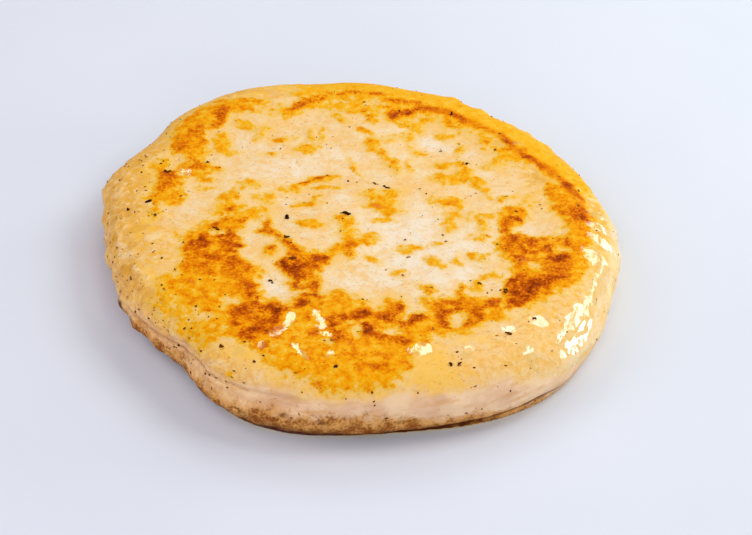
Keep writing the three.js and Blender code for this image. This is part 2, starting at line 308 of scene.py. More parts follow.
# small golden spots and brown cores: x, y, half length, half width, turn in degrees, depth
goldSpots = [
    (-42.6, 19.4, 1.8, 1.3, 80, .9), (-43.2, 2.3, 2, 1.2, 80, .6), (-30, 27.4, 3.2, 1.6, 97, 1),
    (-29, 24, 2.4, 1.1, 0, .6), (-25.3, 34, 2.4, 1.1, -40, .8), (-21.6, 31.4, 2, 1, 75, .7),
    (-33, 13.5, 2.2, .9, 10, .5), (-32.5, 10.5, 1.5, .6, 0, .45), (-4, 36.6, 1.9, .9, -35, .75),
    (3.5, 8, 1.9, 1.4, 0, .9), (7, 8.3, 1.6, 1, 20, .85), (5.5, 5, 2.3, 1.9, 0, .95),
    (6.3, 2.3, 1.9, 1.2, 0, .9), (3.4, 4.4, 1.5, 1, 0, .8), (19.4, 6, 2.5, .9, 5, .8),
    (15.8, 6.2, .8, .6, 0, .7), (20.9, 4.9, 1.5, .7, 90, .7), (19.8, .8, 1, .9, 0, .8),
    (23.4, 1.2, 1.2, .7, 40, .8), (19.3, -3, 1.3, .8, 90, .7), (26.3, -2.4, 2, .8, 90, .6),
    (19.5, 19.2, 2.8, .9, 8, .8), (22, 18.2, 1.7, .9, -30, .85), (23.2, 15.6, 2.2, 1.5, 100, .9),
    (19.5, 13.6, 3, 1.2, -5, .9), (17.4, 14.6, 1, .8, 0, .8), (25.3, 12.8, 1.6, 1, 120, .85),
    (26.8, 10, 1.9, .6, 110, .75), (31.5, 6.5, 1.8, .8, 25, .6), (36, 5.5, 1.2, .7, 80, .5),
    (3, 26.8, 1.9, 1.1, 80, .9), (5.5, 22.6, 2.3, .8, 110, .75), (6.5, 28.5, 1.2, .7, 50, .6),
    (7.6, 18.6, 2, 1.1, 100, .6), (10.8, 18.8, 1.7, .6, 90, .6), (19, 29.5, 1.2, .9, 0, .8),
    (21.8, 25, 1.4, .7, 70, .65), (27.3, 28.2, 2.3, 1.1, 92, 1), (12.7, 24, .8, 1.2, 30, .7),
    (-1, 18, 2.6, .5, 110, .5), (1, 31.8, 1.2, .6, -30, .5), (-10.6, 30, 2, .6, 85, .5),
    (-8.3, 30, 1.9, .6, 88, .6), (-16.5, 28.6, 2, .8, 5, .5), (-11.5, 25, 2.2, 1.5, 20, .5),
    (-19, 23, 1.5, .7, 0, .4), (-13.8, 11.1, 2, .8, 15, .85), (-11.5, 12.6, 2, .7, 38, .9),
    (-8.2, 14, 2.6, .9, 8, .95), (-7.6, 11, 3, .6, 2, .8), (-23.5, 11.8, 1.9, 1.2, 20, .9),
    (-21.8, 7.4, .7, .6, 0, .7), (-19.6, 6.2, 1.1, .7, -20, .85), (-18.9, 7.3, .6, .8, 0, .8),
    (-27.5, 6.5, 1.8, 1.5, 60, .95), (-28, 3.4, 2.9, 1.7, 10, 1), (-23, 1.4, 3.2, 1.4, 20, 1),
    (-9.3, 6.2, 1.4, .7, 75, .7), (-10.5, 5, 2.3, .8, 10, .6), (-9.8, -2.4, 2.2, 1.1, -20, .9),
    (11, -10.2, 1.3, .9, 0, .8), (3, -14, 1.1, .6, -40, .7), (15.8, -15, 1.8, .8, -45, .7),
    (20.4, -14.6, 1.2, .7, 80, .65), (24.6, -13.6, 1.5, .9, 0, .75), (8.3, -18.3, .8, .7, 0, .55),
    (27.5, -20, 1.1, .9, 0, .75), (24.4, -23.5, 1.4, .9, 90, .7), (25.3, -7, 1.2, .8, 0, .5),
    (17, -8.6, 1.6, .6, 10, .4), (5.5, -.6, 2, .7, 0, .5), (9, -10, .8, .5, 0, .5)]
brownMarks = [
    (-30.6, 39.8, 3.6, 1.6, 84, .32), (-30.6, 37.2, 1.7, 1.2, 60, .5), (-31.4, 34, 2.4, 1, 15, .36),
    (-35.3, 31.8, 2.2, 1.5, 35, .46), (-36.4, 28.8, 3.6, 2, 20, .34), (-38.8, 25.8, 2, 1.2, 0, .34),
    (-37, 21.6, 2.6, .8, -50, .36), (-35.9, 19.2, 2, 1.4, -35, .46), (-41.2, 14.4, 2.6, 2, 60, .42),
    (-42, 11, 3, 1.4, 90, .35), (-43.5, 8.6, 1.6, .8, 40, .3), (-12.8, 42.1, 3.2, 1.2, 35, .5),
    (-9.4, 44.2, 1.8, 1.4, 30, .6), (-11, 13.2, 2.2, .4, 28, .5), (-7.8, 14.5, 1.6, .35, 8, .6),
    (-1, 17, 1.2, .35, 110, .6), (13.2, 23.7, 1.2, .35, -20, .55), (-3, 46.5, 5, .8, 2, .5),
    (3, 46, 3, .7, -8, .5), (1.4, 39.8, .8, .6, 0, .5), (6.3, 40.6, 1.1, .8, 0, .65),
    (7.4, 37.2, 2.6, 1.7, 60, .5), (10, 38.6, 1.6, 1.1, 15, .75), (13.2, 39.6, 2.2, 1.1, 15, .65),
    (9, 43, 3, 1.1, -14, .5), (13.4, 41.6, 2.4, 1, -25, .6), (21, 35.8, 2.6, 1.8, -30, .3),
    (21.2, 33.2, 1.2, .9, 0, .35), (32, 28.4, 1.6, 1, -45, .25), (37, 21.4, 2.2, .9, -40, .3),
    (45, 11, 1.9, .9, -60, .3), (27.3, 28.2, 1.8, .7, 92, .3), (46.6, 2.4, 3.2, 2.4, 100, .42),
    (47, -.2, 2.4, 1.9, 0, .5), (43.6, 3.6, 2.4, 1, 85, .42), (47, -3.2, 1.4, 1, 90, .42),
    (44, -8.8, 1.5, 1.1, 120, .42), (32.4, -.8, 2.2, 1, 10, .5), (34, 2.6, 1.2, .8, 0, .2),
    (31, -3.4, 2.4, 1.1, 90, .36), (32.5, -6.8, 2.2, 1.4, -50, .55), (33.5, -9.6, 3, 2, 0, .4),
    (37, -7.6, 3, 1, -5, .45), (36.3, -9.4, 2, 1.2, 0, .45), (39.6, -10.6, 2.2, 1.5, 10, .66),
    (36, -12.3, 1.5, 1, 0, .66), (33.6, -13.4, 2, .8, 0, .5), (31.4, -12.8, 1.6, 1.4, 0, .25),
    (40.8, -7.6, 1.2, 1, 0, .4), (41.9, -14.2, 2, 1.4, 10, .82), (41.2, -17.8, 2, 1.6, 60, .5),
    (39.4, -16.6, 1, 1.4, 0, .4), (32.6, -22.2, 2, 2, 0, .75), (36.9, -22.8, 2.8, 1.9, 30, .88),
    (32.8, -26, 3.2, 1.8, 15, .78), (32, -28.8, 2.2, 1.4, 30, .7), (35.6, -26.2, 2, 1.4, 30, .62),
    (39.8, -21.6, 2.2, 1.3, 35, .66), (42.2, -20.3, 1.8, .9, 20, .55), (35, -20.4, 2, 1, 10, .5),
    (30.6, -25, 1.2, 1.6, 0, .55), (37, -25.2, 1.4, 1.2, 0, .4), (-27.6, 3, 1.2, .9, 0, .6),
    (-24, -.1, .9, .8, 0, .6), (-25.6, -1.2, 1.4, .8, 20, .4), (-19.6, -2.4, 2.4, 1.2, 80, .36),
    (-18.4, -5.2, 2.2, .7, -10, .5), (-16.4, -7, 2.2, .8, -45, .5), (-14.6, -8.8, 1.2, .9, -40, .42),
    (-18.4, -11.2, 2, 1.3, 20, .36), (-17.3, -10.4, .9, .7, 0, .6), (-13, -11.4, 1.6, 1, -30, .55),
    (-14, -15.8, 2.7, 2.4, -40, 1), (-9.4, -14.4, 3.6, 1.4, 10, .55), (-6.8, -14, 1.3, .9, 30, .6),
    (-10, -16.8, 2.6, 1.6, 0, .5), (-12.8, -19, 2, 1.6, -50, .78), (-12.6, -22.4, 1.4, 1.3, 0, .6),
    (-9.4, -22.6, 1.3, 1.1, 90, .68), (-10.4, -20.4, 2, 1.2, 0, .42), (-1.7, -12.2, 1.3, .9, 0, .42),
    (-2.2, -9.8, 1.6, 1.2, 0, .26), (-32.8, -8.6, 2.6, 1.7, 30, .8), (-27.6, -7, 2.4, 2.2, 30, .5),
    (-28, -9.2, 2.6, 1.2, 0, .55), (-33.6, -11.6, 2.4, 1.4, 0, .45), (-26.8, -11.2, 2, 1.2, -20, .62),
    (-24.6, -9.6, 1.2, .8, 30, .5), (-29.2, -13.8, 4, .9, 0, .6), (-32.4, -16.6, 3, 1.6, 0, .42),
    (-26.2, -16, 3, 1.6, -10, .36), (-30.6, -18.8, 3.4, 1, 0, .3), (-23.4, -19.6, 2.6, 1.8, 80, .42),
    (-22.2, -22.8, 1.6, 1.4, 0, .42), (-29.6, -1.6, 2.4, .9, 20, .36), (-21.6, -26.2, 2, 1.3, -50, .72),
    (-21.2, -28.6, 2.4, 1.1, -60, .62), (-17.4, -30.4, 2.8, 1.2, 10, .86),
    (-16.6, -32.6, 2.6, 1.1, 80, .84), (-19, -31.6, 1.4, 1, 0, .75), (-22.6, -31.4, 3, 2.2, 0, .46),
    (-19.4, -34.6, 2.6, 2, 0, .42), (-24.4, -35.6, 1.3, 1, 0, .64), (-21, -37.8, 2.6, 1.4, 15, .72),
    (-22, -39.6, 1.6, .9, -20, .6), (-18, -37, 2.4, 1.4, 0, .4), (-24.6, -33, 2, 1.2, 0, .4),
    (-15.8, -36.5, 1.4, 1.8, 0, .4), (-18.5, -42, 3.4, 1, 10, .3), (-25.2, -47.6, .9, .8, 0, .6),
    (-11.2, -28.6, 1.8, 1.1, 60, .68), (-9.6, -26.6, 2.4, .8, -10, .55), (-14.2, -30.8, 2.2, .7, 15, .6),
    (-10.2, -33.2, 1.6, 1.2, 90, .4), (-4.6, -36.6, 1.8, 3.4, 10, .5), (-3, -39.6, 2, 1.6, 0, .42),
    (-4, -33.6, 2.6, 1.2, 20, .45), (.8, -32.4, 1.7, 1.3, 0, .72), (-1.6, -33.8, 2, 1.2, 0, .5),
    (2.4, -37.6, 1.8, 2, 20, .78), (5.6, -33.2, 2, 1.3, 0, .7), (7.6, -31.6, 2.4, 1.6, 80, .6),
    (8.8, -29.4, 1.6, 1, 80, .68), (7.2, -34.6, 2.4, .9, 0, .6), (12, -34, 2.2, 1, 25, .74),
    (9.4, -35.8, 1.6, 1, 0, .5), (8.2, -40.6, 2.2, .8, -20, .62), (4.6, -39.6, 1.6, 1, 0, .4),
    (-8.6, -38.4, 2, 1.2, 0, .3), (14.2, -24.4, 1.6, .8, -50, .36), (13.8, -28.6, 1.2, .9, 60, .66),
    (18.4, -29, 2.6, 1.1, 0, .5), (21.2, -25.4, 2.6, .7, 90, .3), (19.2, -31.2, 2.4, 1, 0, .62),
    (17.4, -33.6, 1.8, 1.6, 80, .68), (18, -36, 1.6, .9, -10, .5), (22.6, -35.4, 1.6, 1.2, 40, .55),
    (23.8, -32, 2, 1.6, 60, .62), (25.4, -30, 2, 1.2, 10, .46), (27.6, -28.4, 1.6, 1.4, 0, .36),
    (4, -48.4, 2, 1, 0, .3), (-1, -46, 4, 1.6, 0, .14)]
# the brown line inside the right-hand shoulder, as corners along it
searLine = {"width": 1.25, "depth": 1.0, "corners": [
    (15.5, 40.2), (18.5, 39.2), (21, 37.8), (24, 35.2), (27, 32.8), (30, 30.5), (32.3, 28), (34, 25.4),
    (36, 22.4), (38.5, 19.8), (41, 17.2), (43, 13.8), (44.6, 11.2), (46.2, 8.6), (47.6, 5.5)]}
# pale gaps within the browning
paleHoles = [
    (.1, -36.9, 1.7, 1, 90, .95), (7, -37.8, 2, 1.1, 0, .95), (20.2, -34.1, 1.8, 1.5, 80, 1),
    (-1.4, -27.6, .9, .7, 0, .7), (42.4, -11, 1.4, 1.2, 0, .8), (37, -16.6, 2.1, 1, -60, .9),
    (-29.3, -5.2, 1.6, .9, 10, .85), (-26, -28, 1.5, 1.4, 0, .8), (-31.2, -32.6, 2.4, 1.1, 0, .7),
    (12.4, 36, 1.6, .9, 0, .6), (2.8, 42.2, 2.4, 1, 0, .5), (-4, 43.2, 1.8, 1.2, 0, .6),
    (15.4, 37.6, 1.4, .8, 0, .4), (-38.6, 15.6, 1.2, 1, 0, .6), (-20, 7.2, .6, .5, 0, 1),
    (18.6, 16.8, 1, .8, 0, .9), (-27, -36.8, 1.2, .8, 0, .3), (-6.2, -41.4, 1.4, 1, 20, .5),
    (-17.6, -43.2, 1.2, .8, 60, .6)]
# where the flesh is palest, in the middle of the top partly a painted sheen
sheenAndPaleAreas = [
    (12, -10, 16, 9, 0, 1), (-4, -21, 5, 4, 0, .7), (16, 27.5, 5, 3, 0, 1), (8, -1, 9, 6, 0, .9),
    (-17.5, -21, 6, 3, -70, .6), (31, 13, 7, 4, 0, .4), (38, -3.5, 5, 3, 0, .7),
    (-15, 18, 14, 5, 10, .35), (-24, -3, 3, 6, 0, .4), (14, -20, 14, 5, 0, .8)]
# flesh stained yellow round the browning
yellowed = [
    (-45.5, -3, 8, 4, 85, .7), (-41.5, -21, 8, 4, -65, .9), (-36, -34, 8, 4, -45, .9),
    (-25, -43, 8, 3, -20, .9), (14, -47, 6, 5, 70, 1), (17, -51, 6, 3, 20, .95),
    (0, -54, 12, 2.4, 0, .8), (-15, -48, 6, 3, -15, .8), (24, -40, 5, 3, 20, .5),
    (-44, 15, 3, 7, 10, .7), (-38, 34, 3, 7, -30, .6), (-25, 46, 7, 2, 0, .6), (-17, 50, 6, 4, 0, .8),
    (37, -32, 4, 3, 40, .5)]
# the edge at the left and right: pale ridge marks, some of them painted highlights, and golden hollows
edgePaleAndGlints = [
    (-43, -6.7, 2.2, 1.4, 20, .9), (-47.9, -10.7, 1.6, 1, -30, .8), (-51.4, 10.5, 1.6, .9, 50, .9),
    (-43.8, -19.3, 1.2, .8, 0, .7), (-50, -6.4, 3, .6, -55, .8), (-52.3, -8.4, 1.6, .6, -40, .6),
    (-45.5, -16.5, 2.6, .6, -60, .7), (-40.5, -28.5, 3, .7, -55, .7), (-35.2, -40.6, 3.6, 1, -42, .8),
    (-46.5, 8, 2.4, 1, 60, .5), (-49.8, 16.5, 2.4, .6, 70, .6), (-28.5, -44.5, 3.6, .7, -25, .6),
    (52.8, -18.6, 4, 1.5, 75, .8), (53.4, -9.4, 4, 1.4, 85, .8), (47.6, 13.4, 2, .7, 35, .9),
    (50, 8, 1.8, .7, 25, .9)]
edgeGold = [
    (-51.8, -3.7, 1.8, 1.1, 80, .9), (-48.8, -13.9, 2.2, 1.3, -60, .9), (-46.4, -2.9, 3, 1.6, 10, .6),
    (-43, -24, 4, 1.8, -60, .7), (-49, 3, 2, 1.4, 60, .6), (-46, 14, 3, 2, 70, .6),
    (-48.5, 20.5, 3, 1.4, 70, .5)]
# wet spots: x, y, half length, half width, turn, level
wetSpots = [
    (50.6, 2.4, 2.6, 1.3, 10, 1), (50.6, -2.2, 2.8, 1.3, -15, 1.3), (51.2, -6.8, 3.4, 1.4, -25, 1.4),
    (50, -13, 4, 2, -45, 1.4), (54.3, 0, 2.6, .8, 85, 1.1), (48.6, -22.6, 6.5, 1.7, 70, 1.3),
    (51, -17, 4, 1.6, 75, .9), (46.8, -32, 5.5, 4.4, 58, 1.5), (43.4, -37.8, 4, 3.2, 45, 1.3),
    (-15.4, -37, 2.8, 1.3, 45, 1), (-13.6, -34.2, 3.2, 1.1, 75, 1), (-7.9, -33.6, 3, .9, 110, 1),
    (-7.4, -36.4, 1.5, .8, 0, .9), (-11.4, -44.4, 2.8, .8, -62, 1), (-5.4, -45.2, 1.2, .9, 60, 1),
    (-19.2, -42, 1.2, .8, 70, .9), (13, -43.6, 2.6, 2.2, 0, 1), (22, -44.5, 3, 1.6, 60, .9),
    (30.7, -37.6, 1.9, 1.6, 0, 1), (36.7, -34.5, 2, 1.8, 0, 1), (34.2, -43.2, 2.4, 1.7, -60, 1),
    (-37.5, 16.5, 1.7, 1.6, 0, .7), (-31.7, 21.3, 1.2, 1, 0, .6), (-6.6, -39, 1.6, .9, -20, .9),
    (34.8, 26.4, 1.2, 1.1, 0, .9), (-24, -43.5, 2, 1.2, -50, .8)]
# height that the golden flesh of the top reaches down to, in mm, by angle in degrees
fleshRound = {"angles": (0, 60, 120, 150, 175, 200, 215, 235, 250, 262, 275, 290, 302, 315, 335, 360),
              "heights": (1.6, 5, 7, 7.2, 6.2, 7.8, 9.6, 11, 11, 11, 11.2, 11.4, 10.8, 6, 2, 1.6)}
# golden glaze on the shoulder, by angle
glazeRound = {"angles": (0, 20, 55, 95, 120, 150, 175, 200, 225, 245, 262, 285, 300, 325, 345, 360),
              "levels": (1.3, 1.4, 1.25, 1.1, 1.1, 1.1, 1.1, 1, .85, .7, .65, .65, .7, .85, 1.05, 1.2)}
# painted shade in the groove above the crust at the front: its height in mm and depth, by angle
crustGapShade = {"angles": (252, 264, 276, 285, 295, 306, 312, 323),
            "heights": (.8, .9, 1, 1.2, 1.6, 2.2, 2.6, 2.9),
            "levels": (0, .5, .7, .8, .75, .8, .7, 0), "core": 0.3, "half": 0.75}
# nubs along the edge: angle, height in mm, half width in degrees, and how far out in mm
edgeNubs = [
    (66, 11, 1.3, .7), (57.5, 11, 1.2, .6), (48, 11, 1.1, .35), (43, 11, 1, .3), (36, 11, 1.4, .5),
    (158, 9, 1.6, .4), (163, 8.5, 1.1, .5), (172, 8.5, 1.3, .5), (178, 8, 1.1, .45),
    (184.5, 7.5, 1.5, .6), (192, 7.5, 1.3, .4), (201, 7, 1.1, .7), (208, 6, 1.2, .4), (216, 5, 1.4, .4),
    (21, 8, 1.2, .3), (11, 7.5, 1.1, .35), (3, 7, 1.3, .45), (356.5, 6.5, 1, .3), (348, 6, 1.2, .35)]
# scorched bits of the side: angle, height, half width in degrees, half height in mm, level
scorches = [
    (201.5, 7, 1.4, 1.1, .9), (208, 5.6, 1.6, .8, .5), (214, 5, 2, .9, .6), (222, 6.2, 1, .6, .5),
    (236, 7.2, 1.1, .6, .5), (246, 6, 1, .5, .6), (255, 7, 1.2, .6, .6), (263, 6.2, 1, .5, .6),
    (279, 5.6, 1.4, .6, .5)]
# folds of the rolled edge at the left front: height of the main one by angle, and of those beside it; their
# lines are also darkened as painted shade
edgeFolds = {"angles": (198, 210, 228, 250, 265), "heights": (7.4, 8.3, 9.2, 9.9, 10.3),
             "levels": (0, .9, 1, .55, 0), "beside": (0, 1.3, -1.5), "core": 0.1, "half": 0.5}
# how far up the side the dark crust of the base reaches, in mm, by angle
crustRound = {"angles": (0, 60, 180, 198, 215, 235, 255, 285, 300, 318, 360),
              "heights": (.6, 1.3, 2, 3.8, 4.8, 4.6, 5.4, 5.2, 3, .6, .6),
              "levels": (.6, 1, 1, 1, 1, 1, 1.05, 1, .55, .15, .4)}
# how far up the side the toasted band reaches, in mm, by angle
toastRound = {"angles": (0, 60, 120, 180, 205, 225, 250, 275, 292, 308, 320, 340, 360),
              "heights": (1.4, 3.2, 4.4, 5.6, 8, 9, 9.4, 8.4, 6.6, 4.2, 1.6, 1.2, 1.4),
              "levels": (.7, 1, 1, 1, 1, .97, .84, .95, .8, .45, .4, .5, .7)}

# coarse pepper where the photograph shows it: x, y, length, width in mm, turn in degrees
flakes = [
    (-41.3, 16.3, 1.7, .8, 0), (-44.7, 5.4, 1.9, .5, 12), (-43.2, 1, 1.1, .8, 130),
    (-49.1, 4.1, .9, .7, 160), (-29.9, -3.9, 1.2, .8, 140), (-15.1, .2, 1.8, 1, 80),
    (-2.5, 1.4, 2.0, 1, 150), (-15, -7, 1.1, .9, 10), (-13.6, -14.2, 1.7, 1.1, 170),
    (3.5, 12, 1.5, .4, 135), (5.7, 10.8, 1.7, .4, 155), (20.4, 38.1, 1.5, .9, 70),
    (23.2, 19.5, 1.6, .3, 10), (17.7, 24.8, 1, .5, 30), (-17.8, -21.2, 1.5, .5, 140),
    (-32.8, 20, 1, .5, 20), (25, -22.7, 1.2, .6, 150), (30.2, -25.2, 1.3, .9, 100),
    (30.2, -38.6, 1.5, .6, 165), (20.2, -47.2, .8, .6, 60), (18.5, -47.8, .9, .4, 160),
    (35.7, -33.8, .9, .5, 40), (-27.2, -41.8, 1.2, .9, 120), (-4.4, -48.8, .7, .5, 90)]


def readVectors(values, key):
    flat = np.empty(len(values) * 3)
    values.foreach_get(key, flat)
    return flat.reshape(-1, 3)


def ease(value, low, high):
    share = np.clip((value - low) / (high - low), 0, 1)
    return share * share * (3 - 2 * share)


def wander(points, size, shift=0.0):  # smooth random drift, -1 to 1, in three directions
    return np.array([noise.noise_vector(Vector(p) / size + Vector((shift, shift, shift))) for p in points])


def insideArea(points, corners):  # mm inside an outline, or less than none outside it
    x, y = points[:, 0], points[:, 1]
    inside, nearest = np.zeros(len(points), bool), np.full(len(points), 99.0)
    for (ax, ay), (bx, by) in zip(corners, corners[1:] + corners[:1]):
        dx, dy = bx - ax, by - ay
        inside ^= ((ay > y) != (by > y)) & (x < dx * (y - ay) / (dy or 1) + ax)
        along = np.clip(((x - ax) * dx + (y - ay) * dy) / (dx * dx + dy * dy), 0, 1)
        nearest = np.minimum(nearest, np.hypot(x - ax - along * dx, y - ay - along * dy))
    return np.where(inside, nearest, -nearest)


def aroundMark(points, mark, reach):  # the points near a mark, and how many half widths off each is
    x, y, long, wide, turn = mark[:5]
    near = np.nonzero((abs(points[:, 0] - x) < reach) & (abs(points[:, 1] - y) < reach))[0]
    across, along = points[near, 0] - x, points[near, 1] - y
    c, s = math.cos(math.radians(turn)), math.sin(math.radians(turn))
    return near, np.hypot((across * c + along * s) / long, (along * c - across * s) / wide)


def markField(points, marks, core=0.55, fade=1.35, sharp=6.0):  # the deepest mark at each point
    total = np.zeros(len(points))
    for mark in marks:
        near, away = aroundMark(points, mark, fade * max(mark[2:4]))
        total[near] += (mark[5] * (1 - ease(away, core, fade))) ** sharp
    return total ** (1 / sharp)


searReach = {"outside": 9.0, "inside": 6.0}  # mm either way of a browned edge, as far as it counts


def spotReach(points, marks):  # mm inside the nearest of some small spots, or less than none outside
    best = np.full(len(points), -searReach["outside"])
    for mark in marks:
        long, wide, level = mark[2], mark[3], mark[5]
        near, away = aroundMark(points, mark, long + 6)
        depth = np.where(away < 1, (1 - away) * wide * 1.2, (1 - away) * (long + wide) / 2)
        best[near] = np.maximum(best[near], depth - 1.1 * (1 - level))
    return best


def lineMarks(line):
    marks = []
    for (ax, ay), (bx, by) in zip(line["corners"], line["corners"][1:]):
        long = 0.62 * math.hypot(bx - ax, by - ay) + 0.4
        turn = math.degrees(math.atan2(by - ay, bx - ax))
        marks.append(((ax + bx) / 2, (ay + by) / 2, long, line["width"], turn, line["depth"]))
    return marks


def undersideMarks(seed, count, large, deep, within=50):  # the face that can't be seen, browned alike
    pick = random.Random(seed)
    marks = []
    for _ in range(count):
        away, turn = within * math.sqrt(pick.random()), pick.random() * math.tau
        marks.append((away * math.cos(turn), away * math.sin(turn), pick.uniform(.4, 1) * large,
                      pick.uniform(.25, .5) * large, pick.uniform(0, 180), pick.uniform(.4, 1) * deep))
    return marks


drifts = {"seed": 3, "broad": 7.0, "middling": 2.8, "small": 1.0}  # sizes in mm, the same on every run
noise.seed_set(drifts["seed"])
spots = readVectors(patty.data.vertices, "co") / mm
facing = readVectors(patty.data.vertex_normals, "vector")
rise = spots[:, 2]
angle = np.degrees(np.arctan2(spots[:, 1], spots[:, 0])) % 360
radius = np.hypot(spots[:, 0], spots[:, 1])
rimRadius = np.zeros(180)  # one for every two degrees
np.maximum.at(rimRadius, (angle / 2).astype(int) % 180, radius)
inward = np.interp(angle, np.arange(-1, 363, 2), np.r_[rimRadius[-1], rimRadius, rimRadius[0]]) - radius
broad = wander(spots, drifts["broad"], shift=3.1)
drift = wander(spots, drifts["middling"]) * 0.9 + wander(spots, drifts["small"], shift=7.3) * 0.5
warped = spots + drift


def facingUp(none, full):
    return ease(facing[:, 2], none, full)


def nearRim(full, none):  # 1 at the rim, gone some mm inside it
    return 1 - ease(inward, full, none)


# parts of the way round in degrees: the middle, how far off it is full, how far off it is gone
ways = {"back": (62, 35, 60), "behind": (62, 38, 66), "left": (195, 30, 75), "leftFront": (208, 22, 48),
        "right": (348, 16, 34)}


def toward(way):
    middle, full, none = ways[way]
    return 1 - ease(abs((angle - middle + 180) % 360 - 180), full, none)


def wayRoundEdge(table, key):
    return np.interp(angle, table["angles"], table[key])


def dab(at, height, wide, tall, drifting):  # a soft mark on the side
    return np.exp(-0.5 * ((angle - at) / wide) ** 2
                  - 0.5 * ((rise + drifting * drift[:, 2] - height) / tall) ** 2)


isTop = facingUp(0.1, 0.45)
isEdge = facingUp(-0.1, 0.2)
isUnder = ease(-facing[:, 2], 0.6, 0.9)
side = 1 - facingUp(0.35, 0.85)
leftward, leftFront = toward("left"), toward("leftFront")
turnedAway = -facing @ np.array(outward)
downBack = ease(turnedAway + 0.2 * broad[:, 1] + 0.16 * drift[:, 0], -0.02, 0.55)

# searing: mm inside the browned areas, how warm they are, and the brown cores
reaches = {name: insideArea(warped, corners) for name, corners in goldAreas.items()}
reaches["spots"] = spotReach(warped, goldSpots) + 0.8
sear = np.max(list(reaches.values()), axis=0)
shares = {name: np.exp(reach - sear) for name, reach in reaches.items()}
warmth = sum(searWarmth[name] * share for name, share in shares.items()) / sum(shares.values())
warmth = warmth * (1 - 0.9 * downBack)
sear = np.minimum(sear, -spotReach(warped, paleHoles)) - searReach["outside"] * (1 - isTop) - 2 * downBack
below = undersideMarks(seed=11, count=150, large=9, deep=1)
sear = np.maximum(sear, spotReach(warped, below) - searReach["outside"] * (1 - isUnder))
sear = np.clip(sear, -searReach["outside"], searReach["inside"])
brown = markField(warped, brownMarks, core=0.25, fade=1.65, sharp=2.2)
brown = brown * (1 - markField(warped, paleHoles)) * isTop * (1 - downBack)
below = undersideMarks(seed=12, count=190, large=4, deep=.9)
brown = np.maximum(brown, markField(warped, below, core=0.25, fade=1.6, sharp=3.0) * isUnder)
onLine = markField(spots + 0.25 * drift, lineMarks(searLine), core=0.2, fade=1.7, sharp=3.0) * isTop
calm = toward("back") * nearRim(7, 11) * ease(inward, 2, 4.5)  # smooth gold along the back edge

# glaze of the shoulder, yellow and pale flesh with painted sheen in the middle, ridge marks of the edge
# with painted highlights in part, wet spots
turned = (angle + 7 * broad[:, 0]) % 360
glaze = np.interp(turned, glazeRound["angles"], glazeRound["levels"])
glaze = glaze * facingUp(0.0, 0.6) * (1 - ease(inward + 3 * broad[:, 1], 8, 22))
outerRight = toward("right") * (1 - ease(inward + broad[:, 0], 0.8, 3.4))
glaze = glaze * (1 - 0.85 * outerRight)
yellowing = markField(spots + 1.5 * broad, yellowed, core=0.1, fade=1.6, sharp=2.0) * isTop
behind = toward("behind") * ease(rise + 2 * broad[:, 2], 3, 10)
yellowing = np.maximum(yellowing, 0.8 * behind * nearRim(4, 8))
# pale flesh, in the middle of the top partly a painted sheen
pale = markField(spots + 2.5 * broad, sheenAndPaleAreas, core=0.3, fade=1.6, sharp=2.5) * isTop
ridgesAndGlints = markField(spots + 0.5 * drift, edgePaleAndGlints, core=0.3, fade=1.5)
hollows = markField(spots + 0.5 * drift, edgeGold, core=0.3, fade=1.5)
tinge = (ridgesAndGlints - hollows) * isEdge
wet = markField(spots + 0.6 * drift, wetSpots, sharp=3.0) * isEdge * ease(rise, 3, 6)

# the side: toasted band, pale flank, dark crust, the groove above it painted as shade, nubs, and folds
# whose lines are painted as shade too
toastHeight = wayRoundEdge(toastRound, "heights")
toast = 1 - ease(rise + 1.5 * broad[:, 2] + 0.8 * drift[:, 2], 0.35 * toastHeight, 1.2 * toastHeight)
toast = toast * wayRoundEdge(toastRound, "levels")
fleshHeight = wayRoundEdge(fleshRound, "heights")
flank = 1 - ease(rise + 1.5 * broad[:, 2] + 0.8 * drift[:, 1], fleshHeight - 2.1, fleshHeight + 1.7)
crust = 1 - ease(rise, 0.3, wayRoundEdge(crustRound, "heights"))
crust = crust * wayRoundEdge(crustRound, "levels")
for at, height, wide, tall, level in scorches:
    crust = np.maximum(crust, level * dab(at, height, wide, tall, drifting=0.4))
crag = 0.12 * side + 0.3 * toast * side + 0.6 * leftFront * nearRim(2, 7)
crag = crag + 0.4 * leftward * nearRim(3, 8.5) + 0.08 * nearRim(4, 9)
crag = np.clip(crag, 0, 1) * (1 - 0.7 * wet)
offGap = abs(rise + 0.25 * drift[:, 2] - wayRoundEdge(crustGapShade, "heights"))
gap = (1 - ease(offGap, crustGapShade["core"], crustGapShade["half"])) * wayRoundEdge(crustGapShade, "levels")
lift = np.zeros(len(spots))
for at, height, wide, out in edgeNubs:
    lift += out * dab(at, height, wide, tall=1.5, drifting=0.8)
lift = lift * nearRim(2.5, 6)
foldLine = wayRoundEdge(edgeFolds, "heights") + 0.8 * broad[:, 0] + 0.35 * drift[:, 2]
folds = [1 - ease(abs(rise - foldLine - aside), edgeFolds["core"], edgeFolds["half"])
         for aside in edgeFolds["beside"]]
fold = (folds[0] + 0.4 * folds[1] + 0.4 * folds[2]) * wayRoundEdge(edgeFolds, "levels")

# fine pepper lies thickest at the left and round the flakes
peppering = 0.35 + leftward * nearRim(9, 22) + 0.25 * side
aroundFlakes = [(x, y, 4, 3, 0, 0.8) for x, y, *_ in flakes]
peppering = peppering + markField(spots, aroundFlakes, core=0.2, fade=1.6, sharp=2)
peppering = peppering * facingUp(-0.3, 0.0)

fields = {"yellowing": yellowing, "tinge": tinge, "pale": pale, "sear": sear, "searLine": onLine,
          "calm": calm, "warmth": warmth, "brown": brown, "glaze": glaze, "wet": wet, "crag": crag,
          "toast": toast, "flank": flank, "gap": gap, "lift": lift, "fold": fold, "crust": crust,
          "peppering": peppering}
for name, values in fields.items():
    field = patty.data.attributes.new(name, "FLOAT", "POINT")
    field.data.foreach_set("value", values.astype(np.float32))
print("browning laid on,", len(goldAreas), "areas,", len(goldSpots) + len(brownMarks), "marks")

